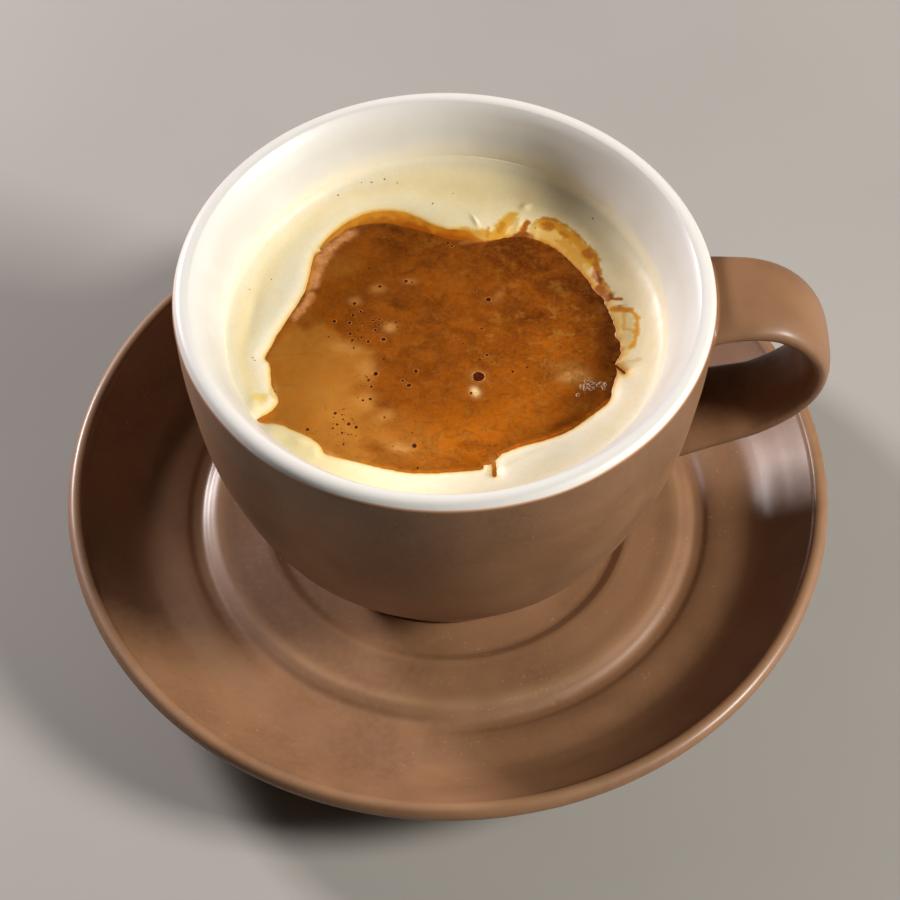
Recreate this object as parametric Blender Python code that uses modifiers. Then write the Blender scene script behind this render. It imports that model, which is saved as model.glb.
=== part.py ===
"""Affogato: vanilla ice cream and espresso in a thick-walled cup, on its saucer.

Metres, +Z up. The table is z = 0, the saucer's centre is the origin, and the
cup's handle points along +X.
"""

from math import atan2, cos, exp, hypot, radians, sin, tau

import bmesh
import bpy
from mathutils import Vector

MM = 0.001

# Main sizes
RIM_RADIUS = 47.0 * MM
RIM_HEIGHT = 74.0 * MM
LIP_ROUNDING = 1.9 * MM
CUP_SHIFT = -0.57 * MM
SAUCER_RADIUS = 73.1 * MM
SAUCER_RIM_ROUNDING = 1.65 * MM
SAUCER_RIM_TOP = 18.0 * MM
GAP = 0.3 * MM

# Heights above the table
WELL_FLOOR = 5.7 * MM
SAUCER_UNDERSIDE = 1.8 * MM
CUP_FOOT = WELL_FLOOR + GAP
POOL_LEVEL = 60.8 * MM

# Radius of the cup's outer wall and its distance below the rim
OUTER_WALL = (
    (46.95 * MM, 3.5 * MM),
    (46.8 * MM, 9.4 * MM),
    (46.0 * MM, 18.8 * MM),
    (44.8 * MM, 28.2 * MM),
    (42.4 * MM, 37.6 * MM),
    (39.1 * MM, 46.8 * MM),
    (35.6 * MM, 52.4 * MM),
    (31.0 * MM, 57.6 * MM),
    (27.8 * MM, 62.0 * MM),
    (27.0 * MM, 65.0 * MM),
)
FOOT_RADIUS = 27.0 * MM
FOOT_INNER_RADIUS = 23.0 * MM
FOOT_ROUNDING = 0.8 * MM
FOOT_RECESS = 2.6 * MM

# Radius of the cup's hollow and its distance below the rim
HOLLOW = (
    (0.0, 58.8 * MM),
    (10.0 * MM, 58.0 * MM),
    (20.0 * MM, 55.0 * MM),
    (28.0 * MM, 49.2 * MM),
    (33.6 * MM, 40.0 * MM),
    (36.8 * MM, 28.0 * MM),
    (38.0 * MM, 18.0 * MM),
    (38.6 * MM, 12.5 * MM),
    (39.3 * MM, 8.8 * MM),
    (41.0 * MM, 4.9 * MM),
    (42.8 * MM, 2.05 * MM),
)
LIP_START = 122.0

# Handle: the middle line of the strap as radius, distance below the rim and strap width
HANDLE_LINE = (
    (42.6 * MM, 6.4 * MM, 20.4 * MM),
    (46.6 * MM, 4.9 * MM, 19.2 * MM),
    (50.0 * MM, 4.1 * MM, 17.8 * MM),
    (54.0 * MM, 4.0 * MM, 17.2 * MM),
    (58.0 * MM, 5.1 * MM, 16.6 * MM),
    (61.5 * MM, 7.3 * MM, 16.2 * MM),
    (64.3 * MM, 10.3 * MM, 15.8 * MM),
    (66.2 * MM, 14.0 * MM, 15.2 * MM),
    (66.8 * MM, 18.3 * MM, 14.7 * MM),
    (65.9 * MM, 22.6 * MM, 14.6 * MM),
    (63.5 * MM, 26.4 * MM, 14.9 * MM),
    (60.2 * MM, 29.5 * MM, 15.4 * MM),
    (56.4 * MM, 32.1 * MM, 15.8 * MM),
    (52.4 * MM, 33.7 * MM, 16.6 * MM),
    (48.8 * MM, 35.0 * MM, 17.6 * MM),
    (44.6 * MM, 36.2 * MM, 19.2 * MM),
    (40.4 * MM, 37.6 * MM, 20.6 * MM),
)
STRAP_THICKNESS = 4.2 * MM
STRAP_CORNER = 1.9 * MM

# Saucer: radius and height of its upper face, from the well to the rim
SAUCER_TOP = (
    (33.3 * MM, 5.7 * MM),
    (33.8 * MM, 5.85 * MM),
    (34.6 * MM, 6.6 * MM),
    (35.8 * MM, 6.95 * MM),
    (43.4 * MM, 7.0 * MM),
    (45.0 * MM, 6.9 * MM),
    (47.3 * MM, 6.3 * MM),
    (48.9 * MM, 6.1 * MM),
    (50.4 * MM, 6.5 * MM),
    (52.4 * MM, 7.3 * MM),
    (58.8 * MM, 8.5 * MM),
    (61.3 * MM, 9.8 * MM),
    (66.2 * MM, 13.7 * MM),
    (70.2 * MM, 17.2 * MM),
)
SAUCER_BOTTOM = (
    (63.0 * MM, 7.4 * MM),
    (55.0 * MM, 3.7 * MM),
    (41.5 * MM, 2.6 * MM),
    (40.4 * MM, 1.6 * MM),
    (39.9 * MM, 0.3 * MM),
    (39.5 * MM, 0.0),
    (36.6 * MM, 0.0),
    (36.1 * MM, 0.3 * MM),
    (35.4 * MM, 1.5 * MM),
    (34.0 * MM, 1.8 * MM),
)
SAUCER_WALL_SLOPE = 40.0

# Espresso: radius of its edge at equal steps round the cup, from +X to +Y
POOL_EDGE = tuple(
    radius * MM
    for radius in (
        30.4, 29.5, 28.0, 28.0, 25.6, 24.3, 25.2, 29.5, 32.0, 30.6, 28.2, 27.0,
        28.8, 31.8, 33.2, 33.0, 32.2, 31.3, 30.8, 30.5, 28.4, 30.6, 32.2, 31.5,
    )
)
POOL_DEPTH = 6.5 * MM
POOL_SIDE = 1.4 * MM
POOL_NOMINAL = 28.0 * MM
POOL_EDGE_DROP = 0.15 * MM
BASIN_SHARES = (0.0, 0.35, 0.6, 0.8, 0.92, 0.998)
POOL_TOP_SHARES = (0.0, 0.5, 0.85, 0.97)
BASIN_CLEARANCE = 0.45 * MM
EDGE_CLEARANCE = 0.6 * MM

# Ice cream: the raised bank beside the espresso and the edge that climbs the wall
CREAM_EDGE_RADIUS = 36.6 * MM
CREAM_EDGE_LEVEL = 61.5 * MM
CREAM_WALL_LEVEL = 64.5 * MM
BANK_MIDDLE = 2.4 * MM
BANK_WIDTH = 2.0 * MM
BANK_SHARES = (0.0, 0.15, 0.3, 0.5, 0.75, 1.0)
BANK_HEIGHTS = tuple(
    height * MM
    for height in (0.4, 0.4, 0.5, 0.6, 0.8, 1.0, 1.3, 1.3, 1.0, 1.1, 1.9, 1.4)
)

SEGMENTS = 64
FOOD_SEGMENTS = 60
MERGE_DISTANCE = 0.01 * MM

COLOURS = {
    "saucer": ((0.17, 0.075, 0.036), 0.28),
    "cup": ((0.17, 0.075, 0.036), 0.25),
    "ice_cream": ((0.88, 0.74, 0.42), 0.35),
    "espresso": ((0.36, 0.13, 0.025), 0.3),
}


def clear_scene():
    for thing in list(bpy.data.objects):
        bpy.data.objects.remove(thing, do_unlink=True)


def new_collection(name):
    collection = bpy.data.collections.new(name)
    bpy.context.scene.collection.children.link(collection)
    return collection


def material(name):
    colour, roughness = COLOURS[name]
    made = bpy.data.materials.new(name)
    made.use_nodes = True
    shader = made.node_tree.nodes["Principled BSDF"]
    shader.inputs["Base Color"].default_value = (*colour, 1.0)
    shader.inputs["Roughness"].default_value = roughness
    shader.inputs["Metallic"].default_value = 0.0
    return made


def arc(centre, radius, start, end, count):
    """Points on a circle about centre, from start to end degrees."""
    points = []
    for index in range(count + 1):
        angle = radians(start + (end - start) * index / count)
        points.append((centre[0] + radius * cos(angle), centre[1] + radius * sin(angle)))
    return points


def blend(before, start, end, after, share):
    """Catmull-Rom value a share of the way from start to end."""
    return 0.5 * (
        2.0 * start
        + (end - before) * share
        + (2.0 * before - 5.0 * start + 4.0 * end - after) * share ** 2
        + (3.0 * start - before - 3.0 * end + after) * share ** 3
    )


def smooth_line(points, steps):
    """A curve through the points, with a number of steps between neighbours."""
    line = []
    last = len(points) - 1
    for index in range(last):
        around = [points[min(max(index + shift, 0), last)] for shift in (-1, 0, 1, 2)]
        for step in range(steps):
            share = step / steps
            line.append(tuple(blend(*values, share) for values in zip(*around)))
    line.append(points[last])
    return line


def round_value(values, angle):
    """A closed smooth curve through values at equal angles, read at one angle."""
    count = len(values)
    place = (angle % tau) / tau * count
    index = int(place)
    around = [values[(index + shift) % count] for shift in (-1, 0, 1, 2)]
    return blend(*around, place - index)


def pool_radius(angle):
    return round_value(POOL_EDGE, angle)


def object_from_mesh(name, mesh, collection):
    made = bpy.data.objects.new(name, mesh)
    collection.objects.link(made)
    return made


def turned(name, profile, segments, collection):
    """A profile of radius and height turned about the Z axis."""
    mesh = bpy.data.meshes.new(name)
    points = [(radius, 0.0, height) for radius, height in profile]
    edges = [(index, index + 1) for index in range(len(points) - 1)]
    mesh.from_pydata(points, edges, [])
    made = object_from_mesh(name, mesh, collection)
    screw = made.modifiers.new("turn", "SCREW")
    screw.steps = segments
    screw.render_steps = segments
    screw.use_merge_vertices = True
    screw.merge_threshold = MERGE_DISTANCE
    screw.use_smooth_shade = True
    return made


def applied(made):
    """The evaluated mesh of an object, with its doubles welded and its faces pointing out."""
    bpy.context.view_layer.update()
    graph = bpy.context.evaluated_depsgraph_get()
    mesh = bpy.data.meshes.new_from_object(made.evaluated_get(graph))
    work = bmesh.new()
    work.from_mesh(mesh)
    bmesh.ops.remove_doubles(work, verts=work.verts, dist=MERGE_DISTANCE)
    bmesh.ops.recalc_face_normals(work, faces=work.faces)
    work.to_mesh(mesh)
    work.free()
    return mesh


def cup_profile():
    """From the middle of the hollow over the lip to the middle of the underside."""
    hollow = [(radius, RIM_HEIGHT - below) for radius, below in HOLLOW]
    lip_centre = (RIM_RADIUS - LIP_ROUNDING, RIM_HEIGHT - LIP_ROUNDING)
    lip = arc(lip_centre, LIP_ROUNDING, LIP_START, 0.0, 6)
    wall = [(radius, RIM_HEIGHT - below) for radius, below in OUTER_WALL]
    foot_centre = (FOOT_RADIUS - FOOT_ROUNDING, CUP_FOOT + FOOT_ROUNDING)
    foot = arc(foot_centre, FOOT_ROUNDING, 0.0, -90.0, 2)
    underside = [
        (FOOT_INNER_RADIUS, CUP_FOOT),
        (FOOT_INNER_RADIUS - FOOT_ROUNDING, CUP_FOOT + FOOT_RECESS),
        (0.0, CUP_FOOT + FOOT_RECESS),
    ]
    return hollow + lip + smooth_line(wall, 2) + foot + underside


def strap_section(width):
    """The strap's section, a rounded rectangle, as distances across and out."""
    half_width = 0.5 * width - STRAP_CORNER
    half_thickness = 0.5 * STRAP_THICKNESS - STRAP_CORNER
    corners = (
        ((half_width, half_thickness), 0.0),
        ((-half_width, half_thickness), 90.0),
        ((-half_width, -half_thickness), 180.0),
        ((half_width, -half_thickness), 270.0),
    )
    points = []
    for centre, start in corners:
        points += arc(centre, STRAP_CORNER, start, start + 90.0, 3)
    return points


def handle_strap(collection):
    """The handle: a strap whose width changes, lofted along its middle line."""
    line = smooth_line(HANDLE_LINE, 2)
    last = len(line) - 1
    work = bmesh.new()
    rings = []
    for index, (radius, below, width) in enumerate(line):
        before = line[max(index - 1, 0)]
        after = line[min(index + 1, last)]
        along = Vector((after[0] - before[0], 0.0, before[1] - after[1])).normalized()
        outward = Vector((-along.z, 0.0, along.x))
        middle = Vector((radius, 0.0, RIM_HEIGHT - below))
        ring = []
        for across, out in strap_section(width):
            ring.append(work.verts.new(middle + outward * out + Vector((0.0, across, 0.0))))
        rings.append(ring)
    for ring, following in zip(rings, rings[1:]):
        for index, corner in enumerate(ring):
            work.faces.new((corner, ring[index - 1], following[index - 1], following[index]))
    work.faces.new(rings[0])
    work.faces.new(rings[-1])
    bmesh.ops.recalc_face_normals(work, faces=work.faces)
    mesh = bpy.data.meshes.new("handle_strap")
    work.to_mesh(mesh)
    work.free()
    strap = object_from_mesh("handle_strap", mesh, collection)
    strap.location.x = CUP_SHIFT
    strap.hide_render = True
    strap.display_type = "WIRE"
    return strap


def radius_at(line, below):
    """Radius that a line of radii and distances below the rim has at one distance."""
    for (upper, top), (lower, bottom) in zip(line, line[1:]):
        if min(top, bottom) <= below <= max(top, bottom):
            return upper + (lower - upper) * (below - top) / (bottom - top)
    return line[-1][0]


def make_cup(collection, cutters):
    cup = turned("cup", cup_profile(), SEGMENTS, collection)
    cup.location.x = CUP_SHIFT
    union = cup.modifiers.new("handle", "BOOLEAN")
    union.operation = "UNION"
    union.object = handle_strap(cutters)
    cup.data.materials.append(material("cup"))


def saucer_profile():
    """From the middle of the well over the rim to the middle of the underside."""
    rim_centre = (SAUCER_RADIUS - SAUCER_RIM_ROUNDING, SAUCER_RIM_TOP - SAUCER_RIM_ROUNDING)
    start = 90.0 + SAUCER_WALL_SLOPE
    rim = arc(rim_centre, SAUCER_RIM_ROUNDING, start, start - 180.0, 8)
    top = [(0.0, WELL_FLOOR)] + list(SAUCER_TOP)
    return top + rim + list(SAUCER_BOTTOM) + [(0.0, SAUCER_UNDERSIDE)]


def make_saucer(collection):
    saucer = turned("saucer", saucer_profile(), SEGMENTS, collection)
    saucer.data.materials.append(material("saucer"))


def bank_height(radius, angle):
    """Height of the ice cream above the espresso, outside the espresso's edge."""
    outside = radius - pool_radius(angle)
    bank = round_value(BANK_HEIGHTS, angle) * exp(-(((outside - BANK_MIDDLE) / BANK_WIDTH) ** 2))
    share = max(0.0, outside / (CREAM_EDGE_RADIUS - pool_radius(angle)))
    return bank + (CREAM_EDGE_LEVEL - POOL_LEVEL) * min(share, 1.0)


def cream_point(ring, angle):
    """Where a point of the plain turned top goes: its ring decides, with the angle."""
    edge = pool_radius(angle)
    if ring < POOL_NOMINAL - MERGE_DISTANCE:
        share = ring / POOL_NOMINAL
        return edge * share, POOL_LEVEL - basin_depth(share)
    if ring < CREAM_EDGE_RADIUS + MERGE_DISTANCE:
        share = (ring - POOL_NOMINAL) / (CREAM_EDGE_RADIUS - POOL_NOMINAL)
        radius = edge + (CREAM_EDGE_RADIUS - edge) * share
        return radius, POOL_LEVEL + bank_height(radius, angle)
    return ring, CREAM_WALL_LEVEL


def basin_depth(share):
    """Depth of the espresso at a share of the way from its middle to its edge."""
    return POOL_SIDE + (POOL_DEPTH - POOL_SIDE) * (1.0 - share ** 4)


def make_ice_cream(collection):
    """Fills the cup up to its uneven top, with a basin for the espresso."""
    wall_below = RIM_HEIGHT - CREAM_WALL_LEVEL
    rings = [POOL_NOMINAL * share for share in BASIN_SHARES]
    outside = CREAM_EDGE_RADIUS - POOL_NOMINAL
    rings += [POOL_NOMINAL + outside * share for share in BANK_SHARES]
    rings.append(radius_at(HOLLOW, wall_below) - GAP)
    profile = [(radius, CREAM_WALL_LEVEL) for radius in rings]
    for radius, below in reversed(HOLLOW):
        if below > wall_below + GAP:
            profile.append((max(radius - GAP, 0.0), RIM_HEIGHT - below + GAP))
    cream = turned("ice_cream", profile, FOOD_SEGMENTS, collection)
    mesh = applied(cream)
    cream.modifiers.clear()
    for vertex in mesh.vertices:
        if vertex.co.z > CREAM_WALL_LEVEL - MERGE_DISTANCE:
            angle = atan2(vertex.co.y, vertex.co.x)
            radius, height = cream_point(hypot(vertex.co.x, vertex.co.y), angle)
            vertex.co = Vector((radius * cos(angle), radius * sin(angle), height))
    finish_food(cream, mesh)


def finish_food(made, mesh):
    mesh.shade_smooth()
    mesh.materials.append(material(made.name))
    made.data = mesh
    made.location.x = CUP_SHIFT


def espresso_profile():
    """A shallow bowl of espresso of nominal radius, which is then fitted to its basin."""
    top = [(POOL_NOMINAL * share, POOL_LEVEL) for share in POOL_TOP_SHARES]
    top.append((POOL_NOMINAL, POOL_LEVEL - POOL_EDGE_DROP))
    bowl = []
    for share in (1.0, *reversed(BASIN_SHARES)):
        height = POOL_LEVEL - basin_depth(share) + BASIN_CLEARANCE
        bowl.append((POOL_NOMINAL * share, height))
    return top + bowl


def make_espresso(collection):
    espresso = turned("espresso", espresso_profile(), FOOD_SEGMENTS, collection)
    mesh = applied(espresso)
    espresso.modifiers.clear()
    for vertex in mesh.vertices:
        edge = pool_radius(atan2(vertex.co.y, vertex.co.x)) - EDGE_CLEARANCE
        vertex.co.x *= edge / POOL_NOMINAL
        vertex.co.y *= edge / POOL_NOMINAL
    finish_food(espresso, mesh)


def main():
    clear_scene()
    collection = new_collection("affogato")
    cutters = new_collection("cutters")
    make_saucer(collection)
    make_cup(collection, cutters)
    make_ice_cream(collection)
    make_espresso(collection)


main()
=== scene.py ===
"""The finished look of the affogato: glazed cup and saucer, melting ice cream and crema.

Lengths are in millimetres until a mesh is made. Those of the cup and its contents count
from the cup's own axis, and heights from the table.
"""

from math import atan2, cos, hypot, pi, radians, sin, tau

import bpy
import numpy as np
from mathutils import Matrix, Vector


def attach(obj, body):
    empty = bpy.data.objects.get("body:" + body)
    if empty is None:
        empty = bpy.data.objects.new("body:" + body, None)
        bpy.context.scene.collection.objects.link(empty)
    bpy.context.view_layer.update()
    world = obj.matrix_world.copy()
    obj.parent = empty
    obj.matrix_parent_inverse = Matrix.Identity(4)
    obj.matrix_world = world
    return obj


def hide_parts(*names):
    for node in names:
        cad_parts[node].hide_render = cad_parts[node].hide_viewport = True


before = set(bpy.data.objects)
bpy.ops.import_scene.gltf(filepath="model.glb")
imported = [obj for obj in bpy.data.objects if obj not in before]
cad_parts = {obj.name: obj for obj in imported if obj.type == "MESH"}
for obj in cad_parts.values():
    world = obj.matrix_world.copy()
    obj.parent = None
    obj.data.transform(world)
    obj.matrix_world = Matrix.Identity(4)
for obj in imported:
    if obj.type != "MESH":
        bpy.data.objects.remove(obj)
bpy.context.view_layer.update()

MM = 0.001
BODY = "root"

# Main sizes, as in the solids
RIM_RADIUS = 47.0
RIM_HEIGHT = 73.97
LIP_ROUNDING = 1.9
CUP_SHIFT = -0.57
SAUCER_RADIUS = 73.09
SAUCER_RIM_ROUNDING = 1.65
SAUCER_RIM_TOP = 18.0
CUP_FOOT = 6.0
POOL_LEVEL = 60.8
GAP = 0.3

# Cup: radius and distance below the rim
OUTER_WALL = (
    (47.0, 1.9), (46.95, 3.5), (46.8, 9.4), (46.0, 18.8), (44.8, 28.2), (42.4, 37.6),
    (39.1, 46.8), (35.6, 52.4), (31.0, 57.6), (27.8, 62.0), (27.0, 65.0), (27.0, 67.2),
)
HOLLOW = (
    (0.0, 58.8), (10.0, 58.0), (20.0, 55.0), (28.0, 49.2), (33.6, 40.0), (36.8, 28.0),
    (38.0, 18.0), (38.6, 12.5), (39.3, 8.8), (41.0, 4.9), (42.8, 2.05),
)
FOOT_RADIUS = 27.0
FOOT_ROUNDING = 0.8
# Underside of the cup: radius and height above its foot
UNDERSIDE = ((23.3, 0.0), (23.0, 0.1), (22.5, 1.6), (21.8, 2.4), (20.8, 2.6), (10.0, 2.6), (0.0, 2.6))
# Degrees on the lip's rounding: where it starts inside, from level outward, and how far past
# its top the white goes
LIP_START = 122.0
WHITE_ENDS = 60.0
# How far below the rim the rings inside the hollow start to be finer
FINE_WALL = 18.0
# Where the white reaches further down: degrees from +X, width in degrees, depth
GLAZE_DIPS = ((235.0, 14.0, 0.45), (297.0, 8.0, 0.2))
# Distance past the white for what is brown all over
ALL_BROWN = 20.0

# Handle: middle line of the strap as radius, distance below the rim and width
HANDLE_LINE = (
    (42.6, 5.3, 20.0), (46.6, 4.4, 19.2), (50.0, 4.0, 18.4), (54.0, 4.0, 17.8),
    (58.0, 5.1, 17.2), (61.3, 7.3, 16.8), (63.9, 10.3, 16.4), (65.8, 14.0, 15.8),
    (66.3, 18.3, 15.3), (65.4, 22.6, 15.2), (63.1, 26.4, 15.5), (60.0, 29.5, 15.8),
    (56.4, 32.1, 16.2), (52.4, 33.7, 17.0), (48.8, 35.0, 17.8), (44.6, 36.2, 19.2),
    (40.4, 37.6, 20.6),
)
STRAP_THICKNESS = 4.3
STRAP_ROUNDNESS = 2.7
# Hollow rounding where the strap meets the cup: its radius, that on top of the upper end, the
# share that the sides lose, and in how many steps of what share it is found
FILLET = 1.3
UPPER_FILLET = 0.5
SIDE_FILLET_CUT = 0.7
FILLET_ROUNDS = 12
FILLET_PACE = 0.6
# How deep in the cup's wall the strap ends
HIDDEN_DEPTH = 2.0

# Saucer: radius and height
SAUCER_TOP = (
    (0.0, 5.7), (32.9, 5.7), (33.6, 5.8), (34.6, 6.3), (35.6, 6.8), (36.6, 6.95),
    (41.0, 6.95), (43.3, 7.05), (45.0, 7.1), (46.8, 6.6), (48.6, 5.9), (49.8, 6.1),
    (51.4, 6.9), (53.0, 7.4), (58.8, 8.5), (61.3, 9.8), (66.2, 13.7), (70.2, 17.2),
)
SAUCER_BOTTOM = (
    (63.0, 7.4), (55.0, 3.7), (41.5, 2.6), (40.4, 1.6), (39.9, 0.3), (39.5, 0.0),
    (36.6, 0.0), (36.1, 0.3), (35.4, 1.5), (34.0, 1.8), (0.0, 1.8),
)
SAUCER_WALL_SLOPE = 40.0
# Rings of its top: first and last radius, number
SAUCER_RINGS = (
    (0.0, 32.5, 12), (32.7, 36.4, 26), (36.8, 43.0, 14), (43.2, 53.0, 44), (53.4, 70.2, 44),
)
# Ridges where the glaze is worn: radius, width, strength
WORN_RIDGES = ((44.9, 1.2, 0.8), (71.6, 0.9, 0.6), (35.9, 0.8, 0.4))

# How finely the pieces are divided round their axes, and their roundings
CUP_SEGMENTS = 288
SAUCER_SEGMENTS = 320
CREAM_SEGMENTS = 840
CREMA_SEGMENTS = 720
STRAP_SEGMENTS = 72
LIP_STEPS = 30
RIM_STEPS = 26

# Ice cream: how far from the espresso its bank is highest, how wide the bank is, how deep the
# edge dips, over how many points that edge is evened, how far it reaches under the espresso
# and into the wall, how deep its basin is, and how far below the rim its hidden rings lie
BANK_MIDDLE = 2.0
BANK_WIDTH = 2.3
CONTACT_DIP = 0.07
EDGE_SMOOTHING = 9
CREAM_UNDERLAP = 1.3
WALL_OVERLAP = 0.12
CREAM_BODY_DEPTH = 4.0
HIDDEN_RINGS = (14.0, 18.0, 28.0, 40.0, 49.2, 55.0, 57.9)
# Espresso: how far it reaches under the cream, and its depth at the edge and in the middle
CREMA_UNDERLAP = 0.9
CREMA_EDGE_DEPTH = 2.4
CREMA_DEPTH = 4.0

# Outline of the espresso, counter-clockwise from the side of the handle
POOL_OUTLINE = (
    (30.3, 0.5), (29.8, 3.0), (29.0, 5.2), (28.3, 7.4), (26.9, 9.6), (25.9, 11.6),
    (24.6, 13.9), (23.0, 16.0), (21.3, 18.2), (19.5, 20.0), (17.3, 21.3), (14.6, 22.3),
    (12.2, 22.3), (9.8, 21.8), (7.6, 21.3), (6.0, 21.9), (4.6, 23.4), (2.6, 24.1),
    (0.2, 24.3), (-2.2, 25.3), (-4.6, 26.8), (-7.2, 28.1), (-10.2, 28.7), (-13.2, 28.5),
    (-16.0, 27.4), (-18.6, 25.5), (-20.8, 22.9), (-22.8, 19.7), (-22.5, 18.9),
    (-23.6, 18.1), (-24.2, 15.0), (-24.6, 12.0), (-25.0, 9.8), (-25.7, 7.8),
    (-26.7, 5.5), (-27.8, 3.2), (-28.7, 1.2), (-29.8, -1.2), (-30.6, -3.6),
    (-31.5, -5.9), (-30.7, -7.3), (-30.3, -9.8), (-30.0, -12.2), (-29.2, -13.9),
    (-28.7, -15.4), (-29.3, -17.0), (-30.6, -18.3), (-32.3, -19.4), (-31.2, -20.2),
    (-29.5, -20.2), (-27.8, -20.6), (-25.8, -21.7), (-23.6, -22.8), (-22.0, -24.0),
    (-20.9, -25.3), (-20.3, -26.5), (-18.8, -27.2), (-16.0, -28.0), (-13.0, -28.9),
    (-9.8, -29.8), (-6.0, -30.6), (-2.0, -30.7), (2.0, -30.4), (6.2, -29.9),
    (6.7, -29.0), (7.9, -28.8), (8.8, -27.8), (9.6, -26.8), (10.6, -26.2),
    (13.0, -25.1), (15.5, -24.3), (18.0, -23.4), (20.4, -22.3), (22.6, -20.8),
    (24.6, -19.1), (26.4, -17.5), (28.0, -16.0), (28.8, -14.4), (29.1, -12.6),
    (29.6, -10.6), (30.1, -8.8), (29.9, -7.4), (30.4, -6.0), (31.0, -4.2),
    (30.8, -2.4), (30.3, -0.8),
)
# Runs of espresso beyond the outline: points and half widths
POOL_RUNS = (
    (((8.3, -28.0), (8.5, -29.8), (8.5, -31.1)), 0.34),
    (((30.0, -7.6), (31.4, -9.1)), 0.22),
)


def linear(red, green, blue):
    """Linear colour of a colour given from 0 to 255 as a screen shows it."""
    share = np.array((red, green, blue), float) / 255.0
    return np.where(share <= 0.04045, share / 12.92, ((share + 0.055) / 1.055) ** 2.4)


CREAM_PALE = linear(255, 245, 220)
CREAM_YELLOW = linear(254, 233, 174)
CREAM_GREENISH = linear(240, 226, 170)
CREAM_THIN = linear(238, 230, 204)
# The cup's one white glaze in two copies: darker on the inner wall as painted shade, lighter on the lip
# as painted light
SHADED_WALL_WHITE = linear(220, 217, 207)
LIT_LIP_WHITE = linear(236, 234, 229)
BROWN_GLAZE = linear(147, 107, 75)
BROWN_DEEP = linear(123, 88, 60)
BROWN_WORN = linear(182, 141, 104)
GLAZE_EDGE = linear(214, 160, 122)
CREAM_GRAIN = linear(248, 246, 238)
CREMA_TAN = linear(196, 131, 50)
CREMA_MIDDLE = linear(137, 68, 2)
CREMA_ORANGE = linear(191, 103, 13)
CREMA_DARK = linear(92, 39, 0)
# Dark edge of the crema at the right: darker coffee, with painted shade of the crease by the cream
CREMA_EDGE = linear(92, 38, 4)
CREMA_LOWER_EDGE = linear(212, 126, 38)
AMBER_BRIGHT = linear(228, 152, 34)
AMBER_DEEP = linear(176, 88, 8)
AMBER_BORDER = linear(104, 50, 8)
FOAM_BRIGHT = linear(248, 214, 150)
FOAM_PALE = linear(226, 166, 90)
FROTH = linear(240, 178, 120)
COFFEE_STAIN = (206, 118, 20)
# Smallest linear tone that a tint reckons with
DARKEST = 0.003


# Curves and noise
def monotone(points, at):
    """A smooth curve through (x, y) points that never swings past them, read at x."""
    xs, ys = np.array(points, float).T
    step = np.diff(xs)
    rise = np.diff(ys) / step
    slope = np.concatenate(([rise[0]], np.zeros(len(rise) - 1), [rise[-1]]))
    left, right = rise[:-1], rise[1:]
    same = left * right > 0
    weights = (2 * step[1:] + step[:-1], step[1:] + 2 * step[:-1])
    safe_left = np.where(same, left, 1.0)
    safe_right = np.where(same, right, 1.0)
    mean = sum(weights) / (weights[0] / safe_left + weights[1] / safe_right)
    slope[1:-1] = np.where(same, mean, 0.0)
    index = np.clip(np.searchsorted(xs, at, side="right") - 1, 0, len(xs) - 2)
    width = step[index]
    share = np.clip((at - xs[index]) / width, 0.0, 1.0)
    return (
        (1 + 2 * share) * (1 - share) ** 2 * ys[index]
        + share * (1 - share) ** 2 * width * slope[index]
        + share ** 2 * (3 - 2 * share) * ys[index + 1]
        + share ** 2 * (share - 1) * width * slope[index + 1]
    )


def between(before, start, end, after, share):
    """Catmull-Rom value a share of the way from start to end."""
    return 0.5 * (
        2 * start
        + (end - before) * share
        + (2 * before - 5 * start + 4 * end - after) * share ** 2
        + (3 * start - before - 3 * end + after) * share ** 3
    )


def smooth_line(points, steps, closed=False):
    """Smooth curve through the points, with a number of steps between neighbours."""
    given = np.array(points, float)
    count = len(given)
    line = []
    for index in range(count if closed else count - 1):
        near = np.arange(index - 1, index + 3)
        around = given[near % count if closed else np.clip(near, 0, count - 1)]
        line += [between(*around, step / steps) for step in range(steps)]
    if not closed:
        line.append(given[-1])
    return np.array(line)


def round_value(values, angle):
    """Smooth closed curve through values at equal angles, read at many angles."""
    values = np.array(values, float)
    count = len(values)
    place = (angle % tau) / tau * count
    index = np.floor(place).astype(int)
    share = place - index
    return between(*(values[(index + shift) % count] for shift in (-1, 0, 1, 2)), share)


def full_turn(count):
    """Equal angles round a full turn."""
    return np.arange(count) * tau / count


def arc(centre, radius, start, end, count):
    angles = np.radians(np.linspace(start, end, count + 1))
    return np.stack((centre[0] + radius * np.cos(angles), centre[1] + radius * np.sin(angles)), 1)


def cloud(x, y, size, seed):
    """Smooth random value between -1 and 1 that changes over a size."""
    table = np.random.default_rng(seed).uniform(-1.0, 1.0, (64, 64))
    u, v = x / size + 31.7, y / size + 17.3
    column, row = np.floor(u).astype(int), np.floor(v).astype(int)
    across, along = u - column, v - row
    across = across * across * (3 - 2 * across)
    along = along * along * (3 - 2 * along)
    corner = [table[(column + i) % 64, (row + j) % 64] for i, j in ((0, 0), (1, 0), (0, 1), (1, 1))]
    low = corner[0] + (corner[1] - corner[0]) * across
    high = corner[2] + (corner[3] - corner[2]) * across
    return low + (high - low) * along


def clouds(x, y, *layers):
    """Sum of clouds, each given as height, size and seed."""
    return sum(height * cloud(x, y, size, seed) for height, size, seed in layers)


def soft_step(value, start, end):
    share = np.clip((value - start) / (end - start), 0.0, 1.0)
    return share * share * (3 - 2 * share)


def facing(angle, towards, start, end):
    """Share that rises as an angle comes near a direction in degrees."""
    return soft_step(np.cos(angle - radians(towards)), start, end)


def bell(value, middle, width):
    return np.exp(-((value - middle) / width) ** 2)


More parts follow.
